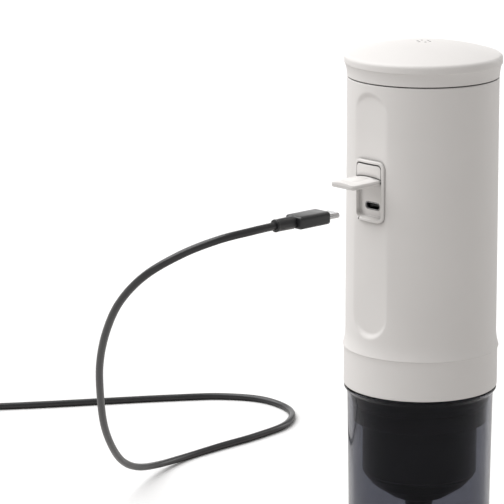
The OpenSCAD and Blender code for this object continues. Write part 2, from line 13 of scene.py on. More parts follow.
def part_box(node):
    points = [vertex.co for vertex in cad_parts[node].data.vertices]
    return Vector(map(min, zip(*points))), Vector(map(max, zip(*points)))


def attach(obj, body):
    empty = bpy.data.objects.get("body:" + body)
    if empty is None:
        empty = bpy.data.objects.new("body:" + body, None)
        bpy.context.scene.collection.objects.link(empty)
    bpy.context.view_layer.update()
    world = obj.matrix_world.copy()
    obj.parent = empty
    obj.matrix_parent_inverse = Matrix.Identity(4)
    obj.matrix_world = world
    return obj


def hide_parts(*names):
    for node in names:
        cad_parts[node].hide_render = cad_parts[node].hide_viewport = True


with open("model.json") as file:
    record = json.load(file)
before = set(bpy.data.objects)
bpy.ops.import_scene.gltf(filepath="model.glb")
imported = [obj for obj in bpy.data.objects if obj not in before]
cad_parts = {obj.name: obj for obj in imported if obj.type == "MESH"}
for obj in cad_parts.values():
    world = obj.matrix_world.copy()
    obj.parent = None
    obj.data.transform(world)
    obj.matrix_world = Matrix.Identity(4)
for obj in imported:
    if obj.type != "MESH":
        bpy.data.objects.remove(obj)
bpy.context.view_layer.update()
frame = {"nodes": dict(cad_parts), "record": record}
MM = 0.001


# ---------- camera ----------

HEADING = math.radians(47.461)          # the way the camera looks, turned from +Y about +Z
PITCH = math.radians(13.115)
ROLL = math.radians(-0.151)

camera = bpy.data.objects.new("camera", bpy.data.cameras.new("camera"))
bpy.context.scene.collection.objects.link(camera)
camera.data.sensor_width = 36
camera.data.lens = 211.6
camera.data.clip_end = 50
camera.location = (0.9052, -0.9341, 0.4452)
camera.rotation_mode = "QUATERNION"
camera.rotation_quaternion = (
    Matrix.Rotation(HEADING, 3, "Z")
    @ Matrix.Rotation(math.pi / 2 - PITCH, 3, "X")
    @ Matrix.Rotation(ROLL, 3, "Z")
).to_quaternion()
bpy.context.scene.camera = camera


# ---------- materials ----------

def socket_name(key):
    """The shader's name for a keyword, such as Specular IOR Level for specular_ior_level."""
    return key.replace("_", " ").title().replace("Ior", "IOR")


def add(tree, kind, **values):
    """A new node, with its settings, or its inputs where it has no such setting."""
    node = tree.nodes.new(kind)
    for name, value in values.items():
        if hasattr(node, name):
            setattr(node, name, value)
        else:
            node.inputs[socket_name(name)].default_value = value
    return node


def noise(tree, place, scale, detail, stretch):
    """Noise in the part's own coordinates; stretch draws it out along an axis."""
    texture = add(tree, "ShaderNodeTexNoise", scale=scale, detail=detail)
    if stretch:
        mapping = add(tree, "ShaderNodeMapping")
        mapping.inputs["Scale"].default_value = stretch
        tree.links.new(place, mapping.inputs["Vector"])
        place = mapping.outputs["Vector"]
    tree.links.new(place, texture.inputs["Vector"])
    return texture.outputs["Fac"]


def ramp(tree, value, least, most, start=0.3, stop=0.7):
    """Turns a value between start and stop, such as noise, into a number from least to most."""
    node = add(tree, "ShaderNodeMapRange", from_min=start, from_max=stop, to_min=least, to_max=most)
    tree.links.new(value, node.inputs["Value"])
    return node.outputs["Result"]


PAINTED_SHADE_REACH = 4 * MM                  # how far a surface looks for neighbours, for the painted shade in its corners and pockets
GRAIN_STRENGTH = 0.35


def material(name, colour, rough, metal=0.0, grain=2600, bump=0.02, mottle=0.03, mottle_scale=40,
             rough_spread=0.05, stretch=None, painted_shade_share=None, **shader):
    """A moulded, cast or drawn surface: fine grain, faint mottling of its colour and a varied gloss.

    bump is the grain's depth in millimetres. mottle and rough_spread are the share by which the
    colour and the roughness vary. The share given for painted shade is the colour's share left in
    tight corners and pockets, which painted shade darkens.
    """
    made = bpy.data.materials.new(name)
    made.use_nodes = True
    tree = made.node_tree
    bsdf = tree.nodes["Principled BSDF"]
    place = add(tree, "ShaderNodeTexCoord").outputs["Object"]
    fine = noise(tree, place, grain, 3, stretch)
    broad = noise(tree, place, mottle_scale, 5, stretch)

    mix = add(tree, "ShaderNodeMix", data_type="RGBA")
    dark, light = [[min(1, c * k) for c in colour] + [1] for k in (1 - mottle, 1 + mottle)]
    mix.inputs[6].default_value, mix.inputs[7].default_value = dark, light
    tree.links.new(ramp(tree, broad, 0, 1), mix.inputs["Factor"])
    colour_out = mix.outputs[2]
    # Painted shade: ambient occlusion darkens the colour where other surfaces stand near, in corners,
    # pockets, under the cap's lip and along seams.
    if painted_shade_share is not None:
        painted_shade_probe = add(tree, "ShaderNodeAmbientOcclusion", samples=8)
        painted_shade_probe.inputs["Distance"].default_value = PAINTED_SHADE_REACH
        tree.links.new(colour_out, painted_shade_probe.inputs["Color"])
        shade = add(tree, "ShaderNodeMix", data_type="RGBA", blend_type="MULTIPLY")
        shade.inputs["Factor"].default_value = 1
        tree.links.new(colour_out, shade.inputs[6])
        painted_shade_kept = ramp(tree, painted_shade_probe.outputs["AO"], painted_shade_share, 1, 0.35, 0.85)
        tree.links.new(painted_shade_kept, shade.inputs[7])
        colour_out = shade.outputs[2]
    tree.links.new(colour_out, bsdf.inputs["Base Color"])
    varied = ramp(tree, broad, rough - rough_spread, rough + rough_spread)
    tree.links.new(varied, bsdf.inputs["Roughness"])

    bumps = add(tree, "ShaderNodeBump")
    bumps.inputs["Strength"].default_value = GRAIN_STRENGTH
    bumps.inputs["Distance"].default_value = bump * MM
    tree.links.new(fine, bumps.inputs["Height"])
    tree.links.new(bumps.outputs["Normal"], bsdf.inputs["Normal"])
    bsdf.inputs["Metallic"].default_value = metal
    for key, value in shader.items():
        bsdf.inputs[socket_name(key)].default_value = value
    return made


MATERIALS = {
    # The white body gets painted shade in its corners, pockets and seams.
    "body_white": material("body_white", (0.86, 0.838, 0.82), 0.46, mottle=0.012, bump=0.018,
                           painted_shade_share=0.3, specular_ior_level=0.4),
    "smoked_plastic": material("smoked_plastic", (0.33, 0.34, 0.385), 0.06, grain=900, bump=0.003,
                               mottle=0.02, rough_spread=0.02, transmission_weight=1.0, ior=1.46,
                               specular_tint=(0.3, 0.3, 0.32, 1)),
    "clear_plastic": material("clear_plastic", (0.86, 0.9, 0.92), 0.1, grain=900, bump=0.004,
                              mottle=0.01, rough_spread=0.03, transmission_weight=1.0, ior=1.49),
    "black_plastic": material("black_plastic", (0.011, 0.011, 0.012), 0.42, mottle=0.1, bump=0.02),
    "dark_nylon": material("dark_nylon", (0.06, 0.06, 0.065), 0.5, mottle=0.08, bump=0.03),
    "white_nylon": material("white_nylon", (0.78, 0.77, 0.72), 0.45, mottle=0.02,
                            subsurface_weight=0.1, subsurface_scale=0.002),
    "black_rubber": material("black_rubber", (0.02, 0.02, 0.021), 0.62, mottle=0.12, bump=0.04),
    "grey_silicone": material("grey_silicone", (0.42, 0.42, 0.42), 0.55, mottle=0.04, bump=0.02),
    "lead_black": material("lead_black", (0.022, 0.022, 0.024), 0.34, mottle=0.15, mottle_scale=120,
                           bump=0.02, coat_weight=0.3, coat_roughness=0.22),
    "light_ring": material("light_ring", (0.88, 0.9, 0.93), 0.3, mottle=0.01,
                           subsurface_weight=0.3, subsurface_scale=0.003),
    "board_green": material("board_green", (0.02, 0.13, 0.06), 0.28, mottle=0.25, mottle_scale=600),
    "cell_wrap": material("cell_wrap", (0.05, 0.16, 0.42), 0.3, mottle=0.06, mottle_scale=90),
    "nickel": material("nickel", (0.70, 0.70, 0.715), 0.22, metal=1.0, grain=1500, bump=0.004,
                       mottle=0.04, stretch=(1, 0.05, 1)),
    "steel": material("steel", (0.58, 0.575, 0.57), 0.3, metal=1.0, grain=1800, bump=0.006,
                      mottle=0.06, stretch=(1, 1, 0.05)),
    "aluminium": material("aluminium", (0.72, 0.73, 0.74), 0.45, metal=1.0, bump=0.03, mottle=0.06),
    "brass": material("brass", (0.75, 0.56, 0.26), 0.28, metal=1.0, bump=0.006, mottle=0.06),
}
SLOT_OF = {part["node"]: part["material_slot"] for part in frame["record"]["subparts"]}
for node_name, cad_node in frame["nodes"].items():
    for place in cad_node.material_slots:
        place.material = MATERIALS[SLOT_OF[node_name]]


# ---------- mesh helpers ----------

WELD = 1e-7                             # points closer than this are one


def piece(name, verts, faces, body, stands_for=(), slot=None, sharp=32, slices=()):
    """A smooth-shaded mesh that rides on a body and stands for some CAD nodes.

    Edges steeper than sharp, in degrees, stay sharp. Wide faces on a surface that bends in X are
    sliced at these places, in millimetres.
    """
    mesh = bpy.data.meshes.new(name)
    work = bmesh.new()
    made = [work.verts.new(v) for v in verts]
    for face in faces:
        work.faces.new([made[i] for i in face])
    for x in slices:
        bmesh.ops.bisect_plane(work, geom=work.verts[:] + work.edges[:] + work.faces[:], dist=WELD,
                               plane_co=(x * MM, 0, 0), plane_no=(1, 0, 0))
    finish_mesh(work, mesh, sharp)
    obj = bpy.data.objects.new(name, mesh)
    bpy.context.scene.collection.objects.link(obj)
    slot = slot or SLOT_OF[stands_for[0]]
    mesh.materials.append(MATERIALS[slot])
    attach(obj, body)
    if stands_for:
        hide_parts(*stands_for)
    return obj


def finish_mesh(work, mesh, sharp):
    """Welds, turns the faces outwards, and keeps only true edges sharp."""
    bmesh.ops.remove_doubles(work, verts=work.verts, dist=WELD)
    bmesh.ops.recalc_face_normals(work, faces=work.faces)
    for face in work.faces:
        face.smooth = True
    for edge in work.edges:
        edge.smooth = len(edge.link_faces) == 2 and edge.calc_face_angle(0) < math.radians(sharp)
    work.to_mesh(mesh)
    work.free()


def fillet(points, closed=False, steps=5):
    """Rounds the corners of an outline. Each point is (u, v) or (u, v, radius), in millimetres.

    A radius is cut short where two corners would meet.
    """
    flat = [Vector(p[:2]) for p in points]
    out = []
    for i, point in enumerate(points):
        radius = point[2] if len(point) > 2 else 0
        if not radius or (not closed and i in (0, len(points) - 1)):
            out.append(flat[i].copy())
            continue
        back, ahead = flat[i - 1] - flat[i], flat[(i + 1) % len(points)] - flat[i]
        half = back.angle(ahead) / 2
        reach = min(radius / math.tan(half), 0.49 * back.length, 0.49 * ahead.length)
        start, stop = flat[i] + back.normalized() * reach, flat[i] + ahead.normalized() * reach
        for k in range(steps + 1):
            t = k / steps
            out.append(start * (1 - t) ** 2 + flat[i] * 2 * t * (1 - t) + stop * t * t)
    return out


def skin(rings, loop=False, ends=True):
    """Vertices and faces of a surface through rings of points. A ring of one point is a tip."""
    verts, faces, starts = [], [], []
    for ring in rings:
        starts.append(len(verts))
        verts.extend(ring)
    for a in range(len(rings) if loop else len(rings) - 1):
        b = (a + 1) % len(rings)
        na, nb, sa, sb = len(rings[a]), len(rings[b]), starts[a], starts[b]
        for i in range(max(na, nb)):
            j = (i + 1) % max(na, nb)
            if na == 1:
                faces.append((sa, sb + j, sb + i))
            elif nb == 1:
                faces.append((sa + i, sa + j, sb))
            else:
                faces.append((sa + i, sa + j, sb + j, sb + i))
    if ends and not loop:
        for s, ring in ((starts[0], rings[0]), (starts[-1], rings[-1])):
            if len(ring) > 2:
                faces.append(tuple(range(s, s + len(ring))))
    return verts, faces


def lathe(profile, steps=144, loop=True, place=Matrix.Identity(4)):
    """Turns an outline of (radius, height) points in millimetres about the local Z axis."""
    rings = []
    for r, h in profile:
        if r < 1e-6:
            rings.append([place @ Vector((0, 0, h * MM))])
        else:
            rings.append([place @ Vector((r * MM * math.cos(a), r * MM * math.sin(a), h * MM))
                          for a in (2 * math.pi * k / steps for k in range(steps))])
    return skin(rings, loop=loop, ends=False)


def round_box(width, height, radius, steps=8, edge=6):
    """Outline of a rectangle with round corners: (u, v) points, straight sides divided too."""
    radius = min(radius, width / 2 - 1e-4, height / 2 - 1e-4)
    corners = ((1, 1), (-1, 1), (-1, -1), (1, -1))

    def on_corner(k, turn):
        u, v = corners[k % 4]
        return (u * (width / 2 - radius) + radius * math.cos(turn),
                v * (height / 2 - radius) + radius * math.sin(turn))

    out = []
    for k in range(4):
        out += [on_corner(k, math.pi / 2 * (k + i / steps)) for i in range(steps + 1)]
        (u, v), (next_u, next_v) = out[-1], on_corner(k + 1, math.pi / 2 * (k + 1))
        out += [(u + (next_u - u) * i / edge, v + (next_v - v) * i / edge) for i in range(1, edge)]
    return out


def cut(obj, cutters, sharp):
    """Takes the cutters out of a piece and keeps the result as its mesh."""
    for tool in cutters:
        modifier = obj.modifiers.new("cut", "BOOLEAN")
        modifier.object, modifier.solver, modifier.operation = tool, "EXACT", "DIFFERENCE"
    graph = bpy.context.evaluated_depsgraph_get()
    graph.update()
    work = bmesh.new()
    work.from_object(obj, graph)
    obj.modifiers.clear()
    finish_mesh(work, obj.data, sharp)
    for tool in cutters:
        bpy.data.objects.remove(tool)


def cutter(verts, faces):
    """A closed mesh for cut, which removes it again."""
    mesh = bpy.data.meshes.new("cutter")
    mesh.from_pydata(verts, [], faces)
    work = bmesh.new()
    work.from_mesh(mesh)
    bmesh.ops.recalc_face_normals(work, faces=work.faces)
    work.to_mesh(mesh)
    work.free()
    obj = bpy.data.objects.new("cutter", mesh)
    bpy.context.scene.collection.objects.link(obj)
    return obj


def smooth(t):
    """Eases from 0 to 1 while t goes from 0 to 1."""
    t = min(1, max(0, t))
    return t * t * (3 - 2 * t)


def low(name):
    """The lowest x, y and z of a CAD node."""
    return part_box(name)[0]


def high(name):
    """The highest x, y and z of a CAD node."""
    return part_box(name)[1]


def middle_z(name):
    """The height of a CAD node's middle."""
    return (low(name).z + high(name).z) / 2


# ---------- lead ----------

LEAD_D = 3.5 * MM
LEAD_START = Vector((0, low("plug_relief").y, middle_z("plug_relief")))

# From the plug down to the table and along it, as far as the coil.
LEAD_ROUTE = [
    LEAD_START, (0, -0.104, 0.168), (-0.004, -0.119, 0.166), (-0.014, -0.131, 0.160),
    (-0.030, -0.138, 0.149), (-0.048, -0.137, 0.134), (-0.066, -0.130, 0.116), (-0.084, -0.119, 0.096),
    (-0.101, -0.105, 0.075), (-0.118, -0.089, 0.054), (-0.134, -0.071, 0.036), (-0.149, -0.052, 0.0215),
    (-0.163, -0.031, 0.011), (-0.175, -0.008, 0.0045), (-0.182, 0.017, 0.0018), (-0.184, 0.043, 0.0018),
    (-0.185, 0.069, 0.0018), (-0.190, 0.095, 0.0018), (-0.207, 0.114, 0.0018), (-0.232, 0.118, 0.0018),
    (-0.253, 0.106, 0.0018), (-0.269, 0.085, 0.0018), (-0.287, 0.057, 0.0018), (-0.305, 0.028, 0.0018),
    (-0.324, 0.000, 0.0018), (-0.344, -0.025, 0.0018)]
# From the coil's end over its turns to the far plug.
LEAD_TAIL = [(-0.3477, 0.0019, 0.0053), (-0.3407, -0.0053, 0.0055), (-0.3338, -0.0125, 0.0055),
             (-0.3270, -0.0195, 0.0050), (-0.3214, -0.0253, 0.0043), (-0.3164, -0.0305, 0.0040)]
COIL_CENTRE = Vector((-0.361, -0.011))
COIL_TURNS = 1.77
COIL_OUTER, COIL_INNER = 22.02 * MM, 18.5 * MM      # radius of the first turn and of the second
COIL_STEPS = 48                         # points in each turn


def through(points, steps=8):
    """A smooth run through the points, each span cut into steps (Catmull-Rom)."""
    p = [Vector(q) for q in points]
    p = [2 * p[0] - p[1]] + p + [2 * p[-1] - p[-2]]
    out = []
    for a, b, c, d in zip(p, p[1:], p[2:], p[3:]):
        for k in range(steps):
            t = k / steps
            out.append(0.5 * (2 * b + (c - a) * t + (2 * a - 5 * b + 4 * c - d) * t * t
                              + (3 * b - a - 3 * c + d) * t ** 3))
    return out + [p[-2]]


def coil():
    """Clockwise turns, the second inside the first, whose end climbs over both."""
    start = math.atan2(LEAD_ROUTE[-1][1] - COIL_CENTRE.y, LEAD_ROUTE[-1][0] - COIL_CENTRE.x)
    count = int(COIL_TURNS * COIL_STEPS)
    out = []
    for k in range(1, count):
        t = COIL_TURNS * k / count
        r = COIL_OUTER + (COIL_INNER - COIL_OUTER) * smooth((t - 0.70) / 0.28)
        z = LEAD_ROUTE[-1][2] + (LEAD_TAIL[0][2] - LEAD_ROUTE[-1][2]) * smooth((t - 1.58) / 0.19)
        a = start - 2 * math.pi * t
        out.append(Vector((COIL_CENTRE.x + r * math.cos(a), COIL_CENTRE.y + r * math.sin(a), z)))
    return out


line = through(LEAD_ROUTE) + coil() + through(LEAD_TAIL, 4)
curve = bpy.data.curves.new("lead", "CURVE")
curve.dimensions = "3D"
curve.bevel_depth = LEAD_D / 2
curve.bevel_resolution = 5
curve.use_fill_caps = True
spline = curve.splines.new("POLY")
spline.points.add(len(line) - 1)
for point, place in zip(spline.points, line):
    point.co = (*place, 1)
spline.use_smooth = True
lead = bpy.data.objects.new("lead", curve)
bpy.context.scene.collection.objects.link(lead)
curve.materials.append(MATERIALS["lead_black"])
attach(lead, "lead")
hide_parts("lead_cord", "lead_coil", "lead_tail")

# ---------- body ----------

BODY_LOW, BODY_TOP = low("body_shell").z, high("body_shell").z
BAND_R = high("body_shell").x / MM
BORE_R = 31.2
BEZEL_Z = middle_z("port_bezel") / MM
BEZEL_W = (high("port_bezel").x - low("port_bezel").x) / MM
BEZEL_H = (high("port_bezel").z - low("port_bezel").z) / MM
BUTTON_Z = middle_z("start_button") / MM
FACET_Y = 32.5                          # distance of the two flat grips from the axis
FACET_HALF = 10.2                       # half of their width
FACET_LOW, FACET_TOP = 108.4, 219.0
FACET_BLEND = 0.35                      # how softly the round body runs into the flat
RIDGE = 18.3                            # height of the soft ridge above the lower edge


def body_radius(h):
    """Radius of the plain body, in millimetres, at a height above its lower edge."""
    if h < RIDGE:
        return BAND_R - 0.05 + 0.2 * smooth((h - RIDGE + 2.2) / 2.0)
    flare = max(0, 1 - (h - RIDGE) / 8)
    return BAND_R - 0.7 - 0.27 * smooth((h - 25) / 116) + 1.2 * flare ** 2.2


def grip_depth(x, z, r):
    """How far the flat grip lies below the round body, softened at its edges."""
    if abs(x) > 16:
        return 0
    long_half = (FACET_TOP - FACET_LOW) / 2 - FACET_HALF
    dz = max(0, abs(z - (FACET_TOP + FACET_LOW) / 2) - long_half)
    away = math.hypot(x, dz)
    end = dz / away if away else 0
    wall = 0.9 + 1.9 * end
    inside = smooth((FACET_HALF + 0.5 - away) / wall)
    round_y = math.sqrt(r * r - x * x)
    h = min(1, max(0, 0.5 + 0.5 * (round_y - FACET_Y) / FACET_BLEND))
    flat = round_y * (1 - h) + FACET_Y * h - FACET_BLEND * h * (1 - h)
    return (round_y - flat) * inside


def body_ring(h, inset=0.0):
    """One ring of the body's outside, with the grips at the front and the rear."""
    z = BODY_LOW / MM + h
    r = body_radius(h) - inset
    ring = []
    for a in BODY_ANGLES:
        x, y = r * math.sin(a), -r * math.cos(a)
        deep = grip_depth(x, z, r)
        ring.append(Vector((x, y + math.copysign(deep, -y), z)) * MM)
    return ring


def bore_ring(h):
    """One ring of the body's plain bore."""
    return [Vector((BORE_R * math.sin(a), -BORE_R * math.cos(a), BODY_LOW / MM + h)) * MM
            for a in BODY_ANGLES]


# Points stand close together on the grips, and rings do where the ridge and the grips' ends are.
near = [math.radians(-24 + 0.8 * k) for k in range(61)]
flank = [math.radians(24 + 132 * k / 44) for k in range(1, 44)]
BODY_ANGLES = near + flank + [a + math.pi for a in near] + [a + math.pi for a in flank]
FULL = (BODY_TOP - BODY_LOW) / MM
heights = [0.6, 1, 4, 8, 12, 15, 16.4]
for first, step, count in ((16.8, 0.2, 22), (21.4, 0.5, 9), (25.9, 0.45, 34), (42, 2.5, 33),
                           (123.2, 0.45, 35)):
    heights += [first + step * k for k in range(count)]
heights += [FULL - 0.9, FULL - 0.5]
soft_edge = ((0, 0.5), (0.08, 0.25), (0.25, 0.08))          # (height, inset) of the shell's rounded ends
rings = [bore_ring(0)] + [body_ring(h, inset) for h, inset in soft_edge]
rings += [body_ring(h) for h in heights]
rings += [body_ring(FULL - h, inset) for h, inset in soft_edge[::-1]] + [bore_ring(FULL)]
body = piece("body", *skin(rings, loop=True), body="maker", stands_for=["body_shell"], sharp=40)

# Turns (u, v, depth) into (x, -depth, z).
FRONT = Matrix(((1, 0, 0, 0), (0, 0, -1, 0), (0, 1, 0, 0), (0, 0, 0, 1)))


def level(outline, depth, lift=0.0):
    """Points of an outline in millimetres at a depth, or at a depth for each point."""
    return [FRONT @ (Vector((u, v + lift, depth(u) if callable(depth) else depth)) * MM)
            for u, v in outline]


CORNER_R = 3.2                          # of the port's frame
CLEARANCE = 0.08                        # between the frame and its hole
THROUGH = (26, 40)                      # depths from inside the wall to outside it
BUTTON_HOLE_R = 9.05
hole = round_box(BEZEL_W + 2 * CLEARANCE, BEZEL_H + 2 * CLEARANCE, CORNER_R + CLEARANCE, 12)
button_hole = [(BUTTON_HOLE_R * math.cos(a), BUTTON_HOLE_R * math.sin(a))
               for a in (math.pi * k / 36 for k in range(72))]
cut(body, [cutter(*skin([level(hole, depth, BEZEL_Z) for depth in THROUGH])),
           cutter(*skin([level(button_hole, -depth, BUTTON_Z) for depth in THROUGH]))], 40)


# ---------- cap ----------

SEAM = BODY_TOP / MM
CAP_TOP = high("top_cap").z / MM
LIP_R = high("top_cap").x / MM
EDGE = 1.9                              # radius of the rounded edge
EDGE_TURN = 73                          # degrees of the edge, from its side up to the dome
EDGE_Z = SEAM + 8.4                     # height of the centre of the edge's arc
VENT_R, VENT_RING = 0.6, 2.8            # radius of a vent and of the ring they stand in
dome_r = LIP_R - EDGE + EDGE * math.cos(math.radians(EDGE_TURN))
dome_z = EDGE_Z + EDGE * math.sin(math.radians(EDGE_TURN))
profile = [(0, CAP_TOP)]
profile += [(dome_r * k / 24, dome_z + (CAP_TOP - dome_z) * (1 - (k / 24) ** 2)) for k in range(1, 25)]
profile += [(LIP_R - EDGE + EDGE * math.cos(a), EDGE_Z + EDGE * math.sin(a))
            for a in (math.radians(EDGE_TURN * (1 - k / 8)) for k in range(1, 9))]
profile += fillet([(LIP_R, SEAM + 7.5), (LIP_R, SEAM + 6.35, 0.3), (34.9, SEAM + 6.1, 0.3),
                   (34.85, SEAM + 6.0)], steps=4)
profile += [(33.95 + 0.9 * t * t, SEAM + 0.75 + 5.25 * t) for t in (1 - k / 10 for k in range(1, 11))]
profile += fillet([(33.95, SEAM + 0.7), (33.9, SEAM + 0.45, 0.3), (31.5, SEAM + 0.45),
                   (31.5, SEAM + 4.5), (29.1, SEAM + 4.5), (29.1, SEAM - 2.6), (28.3, SEAM - 2.6),
                   (28.3, SEAM - 5), (29.1, SEAM - 5), (29.1, SEAM - 9, 0.4), (27, SEAM - 9, 0.4),
                   (27, SEAM + 5.5, 1), (0, SEAM + 10.5)], steps=6)
cap = piece("cap", *lathe(profile, 180, loop=False), body="cap", stands_for=["top_cap"], sharp=40)
vents = []
for turn in (math.radians(d) for d in range(30, 390, 60)):
    spot = Matrix.Translation((VENT_RING * MM * math.cos(turn), VENT_RING * MM * math.sin(turn), 0))
    drill = [(0, SEAM), (VENT_R, SEAM), (VENT_R, CAP_TOP + 2), (0, CAP_TOP + 2)]
    vents.append(cutter(*lathe(drill, 24, False, spot)))
cut(cap, vents, 40)


# ---------- cup ----------

LIP_Z = high("cup").z / MM
CUP_LIP_R = high("cup").x / MM
profile = fillet([
    (0, 1.1), (27.2, 1.1, 0.2), (27.2, 0.5, 0.3), (31.9, 0.5, 3.2), (33.0, LIP_Z - 5.2, 5),
    (33.25, LIP_Z - 2.2, 2.2), (CUP_LIP_R, LIP_Z - 0.75, 0.5), (CUP_LIP_R - 0.1, LIP_Z, 0.35),
    (31.4, LIP_Z, 0.5), (31.0, LIP_Z - 3, 1), (29.9, 6, 2), (27, 3.5, 2.5), (0, 3.5)], steps=7)
piece("smoked_cup", *lathe(profile, 180, loop=False), body="cup", stands_for=["cup"], sharp=40)


# ---------- coffee holder ----------

def join(*parts):
    """Several closed surfaces as one."""
    verts, faces = [], []
    for v, f in parts:
        faces += [tuple(i + len(verts) for i in face) for face in f]
        verts += v
    return verts, faces


def lug(turn):
    """One bayonet lug: a round-cornered bar bent about the axis."""
    bar = fillet([(25.5, 70.1), (27.5, 70.1, 0.35), (27.5, 73.4, 0.35), (25.5, 73.4)], True, 3)
    angles = [math.radians(turn + 3 * k) for k in range(-4, 5)]
    return skin([[Vector((p.x * math.cos(a), p.x * math.sin(a), p.y)) * MM for p in bar]
                 for a in angles])


FOOT = low("basket_holder").z / MM
profile = fillet([
    (24, 76.5, 0.3), (26, 76.5, 0.5), (26, 41.4, 0.6), (25.1, 40.7, 0.3), (25, 39.6, 1.5), (21, 35, 4),
    (13, 29.5, 4), (6.6, 27, 1.6), (5.6, FOOT, 0.4), (4, FOOT, 0.3), (4.4, 28, 1), (11, 31.5, 2),
    (19, 37, 3), (24, 43, 2)], True)
piece("holder", *join(lathe(profile), *(lug(turn) for turn in (0, 120, 240))), body="holder",
      stands_for=["basket_holder"], sharp=40)


# ---------- charging port ----------

FACE_R = 34.7                           # radius of the port's rounded face
POCKET_W, POCKET_H, POCKET_R = 15.1, 23.7, 2.0
POCKET_Y = 31.3                         # distance of the pocket's floor from the axis
SOCKET_Z = middle_z("usb_shell") / MM


def on_face(sink):
    """Depth of a point on the port's rounded face, sunk below it."""
    return lambda x: math.sqrt(FACE_R ** 2 - x * x) - sink


def frame_ring(inset, depth):
    """One ring of the frame round the pocket, inset from its outline."""
    outline = round_box(BEZEL_W - 2 * inset, BEZEL_H - 2 * inset, CORNER_R - inset * 0.92)
    return level(outline, depth, BEZEL_Z)


QUARTER = [math.pi / 2 * k / 5 for k in range(6)]      # a quarter turn, for rounded edges
FRAME_BACK = 29.3
outer, inner = 0.5, 0.32                # radii of the frame's two rounded edges
rim = (BEZEL_W - POCKET_W) / 2
rings = [frame_ring(0, FRAME_BACK)]
rings += [frame_ring(outer * (1 - math.cos(a)), on_face(outer * (1 - math.sin(a)))) for a in QUARTER]
rings += [frame_ring(rim - inner + inner * math.sin(a), on_face(inner * (1 - math.cos(a))))
          for a in QUARTER]
pocket_rings = ((0, 0.5), (0.12, 0.22), (0.4, 0.06), (0.8, 0))          # (narrower by, above the floor)
rings += [level(round_box(POCKET_W - d, POCKET_H - d, POCKET_R), POCKET_Y + e, BEZEL_Z)
          for d, e in pocket_rings]
slot_rings = ((9.8, 4.0, 0), (9.42, 3.62, -0.05), (9.32, 3.52, -0.2), (9.3, 3.5, -1.9))
rings += [level(round_box(w, h, h / 2), POCKET_Y + e, SOCKET_Z) for w, h, e in slot_rings]
bezel = piece("bezel", *skin(rings, loop=True), body="maker", stands_for=["port_bezel"], sharp=50)
notch_x, notch_z = -5.7, BEZEL_Z - BEZEL_H / 2 + 0.85          # a nick in the frame's lower edge
notch = round_box(0.6, 1.1, 0.2, 3, 2)
cut(bezel, [cutter(*skin([[Vector((u + notch_x, -d, v + notch_z)) * MM for u, v in notch]
                          for d in (33.5, 36)]))], 50)


# ---------- flap ----------

PIN = (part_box("flap_pin")[0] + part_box("flap_pin")[1]) / 2 / MM
FLAP_W, FLAP_LONG = POCKET_W - 0.5, 17.0
FLAP_INNER = 31.95                      # distance of the closed flap's inside from the axis
FLAP_CORNER = 1.85
FLAP_EDGE, TAB_EDGE = 0.45, 0.28        # radii of their rounded upper edges
TAB_LONG = 5.2                          # from the pocket's top down to the arc between tab and flap
ARCH_R = 35.5
ARCH_Z = BEZEL_Z + POCKET_H / 2 - TAB_LONG - ARCH_R
FLAP_GAP, TAB_GAP = 0.2, 0.16           # from the arc down to the flap and up to the tab
OPENED = Matrix.Rotation(math.radians(-88.7), 4, "X")          # from closed to open, the rest pose


def arch(x, gap):
    """Height of the arc between tab and flap, lowered by a gap."""
    return ARCH_Z + math.sqrt((ARCH_R - gap) ** 2 - x * x)


def flap_outline(inset):
    """Outline of the closed flap as (x, z): round lower corners and an arched upper edge."""
    w, r, foot = FLAP_W / 2 - inset, max(0.3, FLAP_CORNER - inset), PIN.z - FLAP_LONG + inset
    turn = [math.pi / 2 * k / 6 for k in range(7)]
    shoulder = arch(w, FLAP_GAP + inset) - 0.2
    out = [(-w + r - r * math.cos(a), foot + r - r * math.sin(a)) for a in turn]
    out += [(-w + r + (2 * w - 2 * r) * k / 10, foot) for k in range(1, 10)]
    out += [(w - r + r * math.sin(a), foot + r - r * math.cos(a)) for a in turn]
    out += [(w, foot + r + (shoulder - foot - r) * k / 10) for k in range(1, 11)]
    out += [(x, arch(x, FLAP_GAP + inset)) for x in ((w - 0.25) * (1 - k / 7) for k in range(15))]
    return out + [(-w, foot + r + (shoulder - foot - r) * k / 10) for k in range(10, 0, -1)]


def flap_ring(inset, depth):
    """One ring of the flap, opened; depth is its points' distance from the body's axis when closed."""
    hinge = Vector((0, PIN.y, PIN.z))
    closed = [Vector((x, -(depth(x) if callable(depth) else depth), z)) for x, z in flap_outline(inset)]
    return [(OPENED @ (point - hinge) + hinge) * MM for point in closed]


def on_groove(lift):
    """Depth of a point on the fine groove round the flap, which bends less than the face."""
    return lambda x: 32.75 + 0.3 * (on_face(0)(x) - 33.92) + lift


# Inside, its groove, the rounded upper edge and a shallow panel in the face.
rings = [flap_ring(0.35, FLAP_INNER), flap_ring(0.1, FLAP_INNER + 0.1), flap_ring(0, FLAP_INNER + 0.35)]
rings += [flap_ring(inset, on_groove(lift))
          for inset, lift in ((0, -0.1), (0.09, -0.04), (0.09, 0.04), (0, 0.1))]
rings += [flap_ring(FLAP_EDGE * (1 - math.cos(a)), on_face(FLAP_EDGE * (1 - math.sin(a))))
          for a in QUARTER]
rings += [flap_ring(inset, on_face(sink))
          for inset, sink in ((3.3, 0), (3.45, 0.12), (4.6, 0.12), (4.75, 0))]
ACROSS = [0.8 * k for k in range(-8, 9)]
piece("flap", *skin(rings), body="flap", stands_for=["port_flap"], sharp=50, slices=ACROSS)


